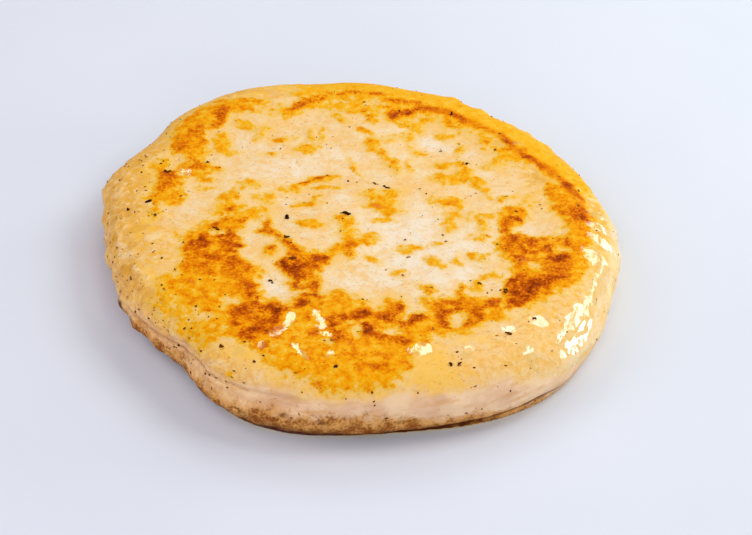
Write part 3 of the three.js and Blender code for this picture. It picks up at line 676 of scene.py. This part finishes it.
# finish shared by the meat and the pepper: uneven light and dark at two sizes
mottle, mottleIn, mottleOut = shadeGroup(
    "mottle", {"Vector": "NodeSocketVector", "Size": "NodeSocketFloat"},
    {"Broad": "NodeSocketFloat", "Fine": "NodeSocketFloat"})
mottle.links.new(grain(mottleIn["Vector"], mottleIn["Size"], 3.0), mottleOut["Broad"])
mottle.links.new(grain(mottleIn["Vector"], times(mottleIn["Size"], 0.22), 1.0), mottleOut["Fine"])


def newFinish(name):  # also gives the place on the piece in mm
    finish = bpy.data.materials.new(name)
    finish.use_nodes = True
    tree = finish.node_tree
    place = addNode(tree, "ShaderNodeTexCoord").outputs["Object"]
    return finish, tree, tree.nodes["Principled BSDF"], scaled(place, 1000.0)


def mottled(place, size):
    group = addNode(place.id_data, "ShaderNodeGroup", node_tree=mottle)
    place.id_data.links.new(place, group.inputs["Vector"])
    group.inputs["Size"].default_value = size
    return group.outputs["Broad"], group.outputs["Fine"]


def attribute(tree, name, part="Fac"):
    return addNode(tree, "ShaderNodeAttribute", attribute_name=name).outputs[part]


meatColours = {
    "pale": linear(241, 227, 202), "cream": linear(239, 210, 160), "peach": linear(241, 196, 122),
    "glaze": linear(240, 183, 70), "stain": linear(248, 196, 82), "cell": linear(246, 220, 164),
    "pit": linear(226, 166, 52), "fringe": linear(246, 204, 108), "yellow": linear(241, 187, 46),
    "dried": linear(214, 156, 50), "freckle": linear(204, 146, 78), "gold": linear(242, 167, 8),
    "amber": linear(230, 134, 0), "brown": linear(200, 93, 0), "dark": linear(162, 66, 0),
    "char": linear(124, 44, 2), "flank": linear(227, 185, 147), "flankPale": linear(243, 209, 168),
    "flankTan": linear(212, 154, 82), "toast": linear(144, 80, 30), "crumb": linear(222, 166, 96),
    "crust": linear(84, 36, 12), "gap": linear(84, 36, 14), "ridge": linear(246, 200, 118),
    "hollow": linear(240, 186, 88), "tan": linear(222, 164, 82)}
meatGrain = {"cloud": 7.0, "speckle": 2.3, "cells": 1.3, "streak": 1.4, "dust": 0.8, "freckle": 0.9,
             "crumb": 2.4, "strokes": 0.7, "waves": 0.7}  # mm across
meatBumps = {"fine": 0.16, "crumb": 0.2, "sear": 0.14, "wrinkle": 0.36, "waves": 0.08}  # mm high
meatShine = {"Coat Roughness": 0.12, "Coat IOR": 2.0, "Specular IOR Level": 0.02, "Subsurface Weight": 0.12,
             "Subsurface Radius": (1.0, 0.45, 0.2), "Subsurface Scale": 1.6 * mm}


def searedMeat():
    finish, tree, shader, place = newFinish("seared_meat")
    tone = meatColours

    def lay(below, colour, share):  # one of the tones over what is there
        return mixColour(share, below, tone[colour])

    def toned(value, stops):
        return ramp(value, [(at, tone[colour]) for at, colour in stops])

    seared, browned, toasted = attribute(tree, "sear"), attribute(tree, "brown"), attribute(tree, "toast")
    glazed, moist, craggy = attribute(tree, "glaze"), attribute(tree, "wet"), attribute(tree, "crag")
    cloud, smallCloud = mottled(place, meatGrain["cloud"])
    speckle, dots = mottled(place, meatGrain["speckle"])
    uneven, dotted, blotch = minus(speckle, 0.5), minus(dots, 0.5), minus(smallCloud, 0.5)

    # flesh, lighter and yellower in patches, glazed on the shoulder
    # the pale field lightens the flesh, partly as painted sheen
    lightness = weighted(times(cloud, 0.55), (smallCloud, 0.45), (attribute(tree, "pale"), 0.19),
                         (dotted, 0.3))
    flesh = toned(lightness, [(0.4, "peach"), (0.56, "cream"), (0.76, "pale")])
    patchy = between(weighted(smallCloud, (dotted, 0.6), (uneven, 0.6)), 0.38, 0.62, 0.15, 1.0)
    flesh = lay(flesh, "glaze", times(glazed, patchy))
    flesh = lay(flesh, "pit", upTo(0.75, glazed, 0.9, 1.25))
    cells = grain(place, meatGrain["cells"])
    flesh = lay(flesh, "pit", times(glazed, upTo(0.55, cells, 0.55, 0.68)))
    pockets = times(upTo(0.65, cells, 0.48, 0.36), between(smallCloud, 0.4, 0.58, 0.2, 1.0))
    flesh = lay(flesh, "cell", times(glazed, pockets))
    stain = weighted(attribute(tree, "yellowing"), (blotch, 1.2), (uneven, 0.8))
    flesh = lay(flesh, "stain", upTo(0.75, stain, 0.1, 0.9))

    # wrinkles of the edge, with painted light and shade from the stored relief: lighter on the rises,
    # darker in the creases, over mottled tones; then pale ridge marks and golden hollows
    streak = grain(attribute(tree, "wayRound", "Vector"), meatGrain["streak"], 3.0)
    sockets = {"Vector": place, "Scale": 0.5, "Detail": 3.0, "Distortion": 0.8}
    wrinkle = times(output(tree, "ShaderNodeTexNoise", sockets), 0.8)
    # painted light and shade: the relief pushes the tone pale on the rises and tan in the creases
    wrinkle = weighted(wrinkle, (streak, 0.2), (attribute(tree, "relief"), 0.5))
    wrinkleToneAndShade = toned(wrinkle, [(0.32, "tan"), (0.46, "hollow"), (0.57, "ridge"), (0.72, "cell")])
    rough = upTo(0.6, craggy, 0.1, 0.7)
    flesh = mixColour(rough, flesh, wrinkleToneAndShade)
    # painted highlight in part: some of the pale edge marks stand for glints
    tinged = weighted(attribute(tree, "tinge"), (uneven, 0.7))
    flesh = lay(flesh, "cell", upTo(0.6, tinged, 0.15, 0.8))
    flesh = lay(flesh, "pit", upTo(0.75, tinged, -0.15, -0.8))
    dust = upTo(0.6, grain(place, meatGrain["dust"], 2.0, 0.7), 0.58, 0.7)
    flesh = lay(flesh, "toast", times(dust, rough))

    # browning, with a yellow fringe and a ragged edge
    reach = weighted(seared, (uneven, 2.6), (blotch, 2.6), (dotted, 1.0))
    flesh = lay(flesh, "fringe", upTo(0.6, reach, -2.2, 0.3))
    present = between(reach, -1.3, 1.4)
    varied = weighted(times(blotch, 0.5), (dotted, 0.36), (uneven, 0.5))
    lively = between(attribute(tree, "calm"), 0.0, 1.0, 1.0, 0.55)
    level = weighted(attribute(tree, "warmth"), (varied, lively))
    deeper = weighted(0.53, (dotted, 0.7), (uneven, 0.8))
    depth = weighted(times(level, present), (browned, deeper), (attribute(tree, "searLine"), 0.28))
    crusty = toned(depth, [(0.08, "fringe"), (0.2, "yellow"), (0.34, "gold"), (0.48, "amber"),
                           (0.66, "brown"), (0.83, "dark"), (1.0, "char")])
    top = mixColour(between(depth, 0.03, 0.22), flesh, crusty)
    freckle = grain(stretch(place, 0.8, 1.2, 1.0), meatGrain["freckle"], 3.0, 0.7)
    freckle = times(upTo(0.5, freckle, 0.56, 0.72), between(present, 0.0, 0.6, 1.0, 0.06))
    top = lay(top, "freckle", freckle)
    rimmed = times(between(reach, -1.1, -0.2), between(reach, 0.2, 1.4, 0.15, 0.0))
    top = lay(top, "dried", rimmed)

    # the side: pale under the shoulder, a mealy toasted band, a dark crust at the base
    crumb, fineCrumb = mottled(place, meatGrain["crumb"])
    flank = mixColour(between(cloud, 0.35, 0.65), tone["flank"], tone["flankPale"])
    flank = lay(flank, "flankPale", upTo(0.5, streak, 0.5, 0.7))
    flank = lay(flank, "flankTan", upTo(0.4, streak, 0.5, 0.3))
    # the same painted light and shade of the wrinkles, on the craggy side
    flank = mixColour(upTo(0.4, craggy, 0.3, 0.9), flank, wrinkleToneAndShade)
    meal = weighted(times(crumb, 0.6), (fineCrumb, 0.4))
    mealy = toned(meal, [(0.34, "toast"), (0.5, "flankTan"), (0.66, "crumb")])
    browner = weighted(toasted, (dotted, 0.4), (uneven, 0.6))
    flank = mixColour(between(browner, 0.1, 0.6), flank, mealy)
    scorched = weighted(plus(browner, 0.8), (meal, -1.6))
    flank = lay(flank, "toast", upTo(0.85, scorched, 0.45, 1.0))
    # painted shade: the lines of the folds darkened with the toast colour
    flank = lay(flank, "toast", times(attribute(tree, "fold"), 0.5))
    flank = lay(flank, "crust", between(weighted(attribute(tree, "crust"), (uneven, 0.8)), 0.2, 0.9))
    # painted shade: the groove above the crust darkened
    flank = lay(flank, "gap", attribute(tree, "gap"))
    onSide = between(weighted(attribute(tree, "flank"), (uneven, 0.8)), 0.1, 0.9)
    skin = mixColour(onSide, top, flank)
    height = addNode(tree, "ShaderNodeSeparateXYZ", {0: place}).outputs["Z"]
    skin = mixColour(between(height, 0.25, 0.6, 1.0, 0.0), skin, crusty)  # the underside is seared too

    # a wet film in places, drawn out into strokes and thin on the brown; the colour under it is lightened
    # as painted sheen
    strokes = grain(stretch(place, 1.5, 0.5, 1.0), meatGrain["strokes"])
    filmAndSheen = weighted(moist, (blotch, 1.4), (uneven, 1.4), (minus(strokes, 0.5), 2.0))
    filmAndSheen = times(between(filmAndSheen, 0.45, 0.72), between(moist, 0.05, 0.3))
    filmAndSheen = times(filmAndSheen, between(browned, 0.1, 0.45, 1.0, 0.1))
    dull = between(cloud, 0.3, 0.7, 0.42, 0.56)
    # painted sheen: the colour under the wet layer lightened toward the fringe tone
    tree.links.new(lay(skin, "fringe", times(filmAndSheen, 0.35)), shader.inputs["Base Color"])
    tree.links.new(between(filmAndSheen, 0.1, 0.7, dull, 0.18), shader.inputs["Roughness"])
    tree.links.new(filmAndSheen, shader.inputs["Coat Weight"])
    for name, value in meatShine.items():
        shader.inputs[name].default_value = value

    # grain of the surface, coarser where it is craggy or toasted, calmer under the film
    grit = weighted(times(crumb, meatBumps["crumb"]), (fineCrumb, meatBumps["fine"]))
    grit = times(grit, between(calc("MAXIMUM", craggy, toasted), 0.1, 0.8, 0.35, 1.2))
    grit = weighted(grit, (times(dots, meatBumps["sear"]), present),
                    (times(wrinkle, rough), meatBumps["wrinkle"]))
    grit = times(grit, between(moist, 0.15, 0.7, 1.0, 0.35))
    waves = times(grain(stretch(place, 1.0, 0.6, 1.0), meatGrain["waves"], 1.0), moist)
    grit = weighted(grit, (waves, meatBumps["waves"]))
    bump = output(tree, "ShaderNodeBump", {"Strength": 0.9, "Distance": mm, "Height": grit})
    tree.links.new(bump, shader.inputs["Normal"])
    return finish


pepperTones = {"pepper_husk": (linear(62, 27, 8), linear(122, 64, 24)),
               "pepper_dust": (linear(92, 48, 16), linear(172, 110, 50))}  # of the husk and the kernel
pepperGrain = 0.6  # mm across


def groundPepper(name):
    finish, tree, shader, place = newFinish(name)
    husk, kernel = pepperTones[name]
    broadPart, finePart = mottled(place, pepperGrain)
    shade = weighted(times(broadPart, 0.5), (attribute(tree, "tint"), 0.5))
    tree.links.new(mixColour(between(shade, 0.35, 0.75), husk, kernel), shader.inputs["Base Color"])
    tree.links.new(between(finePart, 0.3, 0.7, 0.65, 0.9), shader.inputs["Roughness"])
    shader.inputs["Specular IOR Level"].default_value = 0.0
    bump = output(tree, "ShaderNodeBump", {"Strength": 0.6, "Distance": 0.2 * mm, "Height": finePart})
    tree.links.new(bump, shader.inputs["Normal"])
    return finish


# relief of cooked mince over the form, in mm
skinSizes = {"Swell Size": 6.5, "Swell Height": 0.2, "Lump Size": 3.4, "Lump Height": 0.38,
             "Grain Size": 1.1, "Grain Height": 0.4, "Fold Size": 1.2, "Fold Length": 4.0,
             "Fold Height": 0.8, "Crease Size": 5.5, "Crease Depth": 0.24, "Ripple Size": 4.2,
             "Ripple Height": 0.32, "Sear Lift": 0.14, "Edge Fold Depth": 0.36, "Ridge Height": 0.35,
             "Nub Height": 1.0, "Seed": 5}
edgeRadius = 55.0  # mm, about where the folds of the edge lie


def mincedSkin(finish):
    tree, size, outlet = shapeTree("minced_skin", skinSizes)
    millimetres = scaled(output(tree, "GeometryNodeInputPosition"), 1000.0)
    lead = vectorCalc("ADD", millimetres, size["Seed"])

    def layer(vector, label, detail, share):
        level = minus(grain(vector, size[label + " Size"], detail), 0.5)
        return times(times(level, size[label + " Height"]), share)

    # folds run round the edge, so they are drawn out along the way round
    parts = addNode(tree, "ShaderNodeSeparateXYZ", {0: millimetres}).outputs
    flat = output(tree, "ShaderNodeCombineXYZ", {0: parts[0], 1: parts[1]})
    away = addNode(tree, "ShaderNodeVectorMath", {0: flat}, operation="LENGTH").outputs["Value"]
    turns = calc("DIVIDE", times(edgeRadius, size["Fold Size"]), size["Fold Length"])
    ahead = scaled(vectorCalc("NORMALIZE", flat), turns)
    down = output(tree, "ShaderNodeCombineXYZ", {2: weighted(parts[2], (away, -0.8))})
    wayRound = vectorCalc("ADD", ahead, down)

    craggy = named(tree, "crag")
    roughShare = plus(craggy, 0.14)
    swell = layer(lead, "Swell", 2.0, 2.0)
    lumps = layer(stretch(lead, 1.0, 1.0, 1.5), "Lump", 2.0, times(roughShare, 2.4))
    grit = layer(lead, "Grain", 2.0, roughShare)
    folds = layer(wayRound, "Fold", 2.0, times(craggy, craggy))
    ripple = layer(stretch(lead, 1.0, 0.55, 1.4), "Ripple", 3.0, times(named(tree, "wet"), 2.2))
    sockets = {"Vector": lead, "Scale": 0.35, "Detail": 2.0}
    astray = addNode(tree, "ShaderNodeTexNoise", sockets).outputs["Color"]
    bent = vectorCalc("MULTIPLY_ADD", astray, (5.0, 5.0, 5.0), lead)
    sockets = {"Vector": bent, "Scale": calc("DIVIDE", 1.0, size["Crease Size"])}
    cracks = output(tree, "ShaderNodeTexVoronoi", sockets, feature="DISTANCE_TO_EDGE")
    cracks = times(between(cracks, 0.0, 0.1, 1.0, 0.0), size["Crease Depth"])
    cracks = times(cracks, between(craggy, 0.2, 0.8))
    creases = times(named(tree, "fold"), size["Edge Fold Depth"])
    relief = minus(minus(plus(lumps, plus(grit, folds)), creases), cracks)

    seared = between(named(tree, "sear"), -0.6, 1.0)
    lifted = times(plus(seared, named(tree, "brown")), size["Sear Lift"])
    lifted = weighted(lifted, (named(tree, "lift"), size["Nub Height"]),
                      (named(tree, "tinge"), size["Ridge Height"]))
    for part in (swell, relief, ripple):
        lifted = plus(lifted, part)
    lifted = times(lifted, between(parts[2], 0.0, 1.2, 0.0, mm))  # none at the flat base
    offset = scaled(output(tree, "GeometryNodeInputNormal"), lifted)
    marked = stored(size["Geometry"], "relief", relief)
    marked = stored(marked, "wayRound", wayRound, "FLOAT_VECTOR")
    moved = output(tree, "GeometryNodeSetPosition", {"Geometry": marked, "Offset": offset})
    endTree(tree, moved, finish, outlet)
    return tree


runTree(patty, mincedSkin(searedMeat()), skinSizes)
print("patty skin", len(patty.data.vertices), "points")

flakeSizes = {"Patty": patty, "Thickness": 0.4, "Raggedness": 0.75}
speckSizes = {"Patty": patty, "Density": 190000.0, "Smallest": 0.07, "Largest": 0.34, "Raggedness": 0.34,
              "Seed": 8}


def skinOf(tree, size):
    return addNode(tree, "GeometryNodeObjectInfo", {"Object": size["Patty"]}).outputs["Geometry"]


def chanceOf(tree, sockets):
    return addNode(tree, "FunctionNodeRandomValue", sockets, data_type="FLOAT").outputs[1]


def ragged(geometry, amount, lumps):  # broken edges, so no two grains look alike
    tree = geometry.id_data
    real = output(tree, "GeometryNodeRealizeInstances", {0: geometry})
    place = output(tree, "GeometryNodeInputPosition")
    sockets = {"Vector": place, "Scale": 1 / (lumps * mm), "Detail": 1.0}
    shake = addNode(tree, "ShaderNodeTexNoise", sockets).outputs["Color"]
    shake = scaled(vectorCalc("SUBTRACT", shake, (0.5, 0.5, 0.5)), times(amount, 2 * mm))
    return output(tree, "GeometryNodeSetPosition", {"Geometry": real, "Offset": shake})


def grains(points, rotation, scale, sides, seed):
    tree = points.id_data
    ball = output(tree, "GeometryNodeMeshIcoSphere", {"Radius": 1.0, "Subdivisions": sides})
    sockets = {"Points": points, "Instance": ball, "Rotation": rotation, "Scale": scale}
    dots = output(tree, "GeometryNodeInstanceOnPoints", sockets)
    return stored(dots, "tint", chanceOf(tree, {"Seed": seed}), domain="INSTANCE")


def coarsePepper(finish):
    tree, size, outlet = shapeTree("coarse_pepper", flakeSizes)
    place = output(tree, "GeometryNodeInputPosition")
    sockets = {"Target Geometry": skinOf(tree, size), "Source Position": place,
               "Ray Direction": (0, 0, -1), "Ray Length": 0.1}
    ray = addNode(tree, "GeometryNodeRaycast", sockets).outputs
    marked = stored(size["Geometry"], "lean", ray["Hit Normal"], "FLOAT_VECTOR")
    placed = output(tree, "GeometryNodeSetPosition", {"Geometry": marked, "Position": ray["Hit Position"]})
    turn = output(tree, "ShaderNodeCombineXYZ", {2: named(tree, "turn")})
    turn = output(tree, "FunctionNodeEulerToRotation", {0: turn})
    sockets = {"Rotation": turn, "Vector": named(tree, "lean", "FLOAT_VECTOR")}
    turn = output(tree, "FunctionNodeAlignRotationToVector", sockets, axis="Z")
    extents = (named(tree, "long"), named(tree, "wide"), size["Thickness"])
    scale = output(tree, "ShaderNodeCombineXYZ", {i: times(e, 0.5 * mm) for i, e in enumerate(extents)})
    made = grains(placed, turn, scale, sides=2, seed=4)
    endTree(tree, ragged(made, size["Raggedness"], lumps=0.55), finish, outlet)
    return tree


def finePepper(finish):
    tree, size, outlet = shapeTree("fine_pepper", speckSizes)
    many = times(named(tree, "peppering"), size["Density"])
    sockets = {"Mesh": skinOf(tree, size), "Density": many, "Seed": size["Seed"]}
    spread = addNode(tree, "GeometryNodeDistributePointsOnFaces", sockets).outputs
    few = calc("POWER", chanceOf(tree, {"Seed": size["Seed"]}), 4.0)  # mostly small ones
    sockets = {0: few, 2: size["Smallest"], 3: size["Largest"]}
    reach = output(tree, "ShaderNodeMix", sockets, data_type="FLOAT")
    drawn = chanceOf(tree, {"Min": 0.9, "Max": 1.6, "Seed": plus(size["Seed"], 1)})
    extents = {0: times(times(reach, drawn), mm), 1: times(reach, 0.8 * mm), 2: times(reach, 0.45 * mm)}
    scale = output(tree, "ShaderNodeCombineXYZ", extents)
    made = grains(spread["Points"], spread["Rotation"], scale, sides=1, seed=9)
    endTree(tree, ragged(made, size["Raggedness"], lumps=0.5), finish, outlet)
    return tree


flakePoints = bpy.data.meshes.new("coarse_pepper")
flakePoints.from_pydata([(x * mm, y * mm, 40 * mm) for x, y, *_ in flakes], [], [])  # well above the top
for label, values in {"long": [f[2] for f in flakes], "wide": [f[3] for f in flakes],
                      "turn": [math.radians(f[4]) for f in flakes]}.items():
    flakePoints.attributes.new(label, "FLOAT", "POINT").data.foreach_set("value", values)
coarse = newPiece("coarse_pepper", flakePoints)
runTree(coarse, coarsePepper(groundPepper("pepper_husk")), flakeSizes)
fine = newPiece("fine_pepper", bpy.data.meshes.new("fine_pepper"))
runTree(fine, finePepper(groundPepper("pepper_dust")), speckSizes)
print("pepper,", len(flakes), "flakes,", len(fine.data.polygons) // 20, "specks")

# floor and light
ground = {"half": 2, "level": -0.1 * mm, "colour": linear(226, 232, 241), "darker": linear(214, 222, 233),
          "patchSize": 60.0, "roughness": 0.8}
around = ((-1, -1), (1, -1), (1, 1), (-1, 1))
corners = [(x * ground["half"], y * ground["half"], ground["level"]) for x, y in around]
floorMesh = bpy.data.meshes.new("floor")
floorMesh.from_pydata(corners, [], [(0, 1, 2, 3)])
floor = newPiece("floor", floorMesh)
floorFinish, tree, shader, place = newFinish("pale_floor")
soft = mixColour(grain(place, ground["patchSize"]), ground["colour"], ground["darker"])
tree.links.new(soft, shader.inputs["Base Color"])
shader.inputs["Roughness"].default_value = ground["roughness"]
floorMesh.materials.append(floorFinish)

lamps = {"key": {"at": (0.42, 0.125, 0.475), "size": 0.27, "watts": 1.33, "colour": (0.96, 1.0, 0.99)},
         "window": {"at": (0.43, 0.44, 0.13), "size": 0.18, "watts": 0.42, "colour": (0.97, 1.0, 0.99)},
         "low": {"at": (0.56, 0.07, 0.085), "size": 0.16, "watts": 0.66, "colour": (0.97, 1.0, 0.99)},
         "pane": {"at": (0.485, 0.247, 0.24), "size": 0.14, "watts": 0.25, "colour": (0.97, 1.0, 0.99)},
         "back": {"at": (0.26, 0.44, 0.40), "size": 0.24, "watts": 0.6, "colour": (0.97, 1.0, 0.99)},
         "glint": {"at": (0.02, 0.48, 0.41), "size": 0.17, "watts": 0.4, "colour": (1.0, 1.0, 0.86)},
         "fill": {"at": (0.05, -0.6, 0.42), "size": 0.6, "watts": 2.5, "colour": (1.0, 0.98, 1.0)},
         "left": {"at": (-0.45, -0.05, 0.4), "size": 0.5, "watts": 1.38, "colour": (1.0, 0.88, 0.92)}}
for name, lamp in lamps.items():
    light = bpy.data.lights.new(name, "AREA")
    light.size = lamp["size"]
    light.energy = lamp["watts"]
    light.color = lamp["colour"]
    holder = bpy.data.objects.new(name, light)
    holder.location = lamp["at"]
    holder.rotation_euler = (-Vector(lamp["at"])).to_track_quat("-Z", "Y").to_euler()
    bpy.context.scene.collection.objects.link(holder)
studio = {"Color": (0.96, 0.9, 0.98, 1.0), "Strength": 0.22}
world = bpy.data.worlds.new("studio")
world.use_nodes = True
for name, value in studio.items():
    world.node_tree.nodes["Background"].inputs[name].default_value = value
bpy.context.scene.world = world
bpy.context.scene.view_settings.view_transform = "Standard"
print("floor and light set")

for piece in (patty, coarse, fine):
    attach(piece, "root")
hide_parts("patty")
bpy.context.view_layer.update()
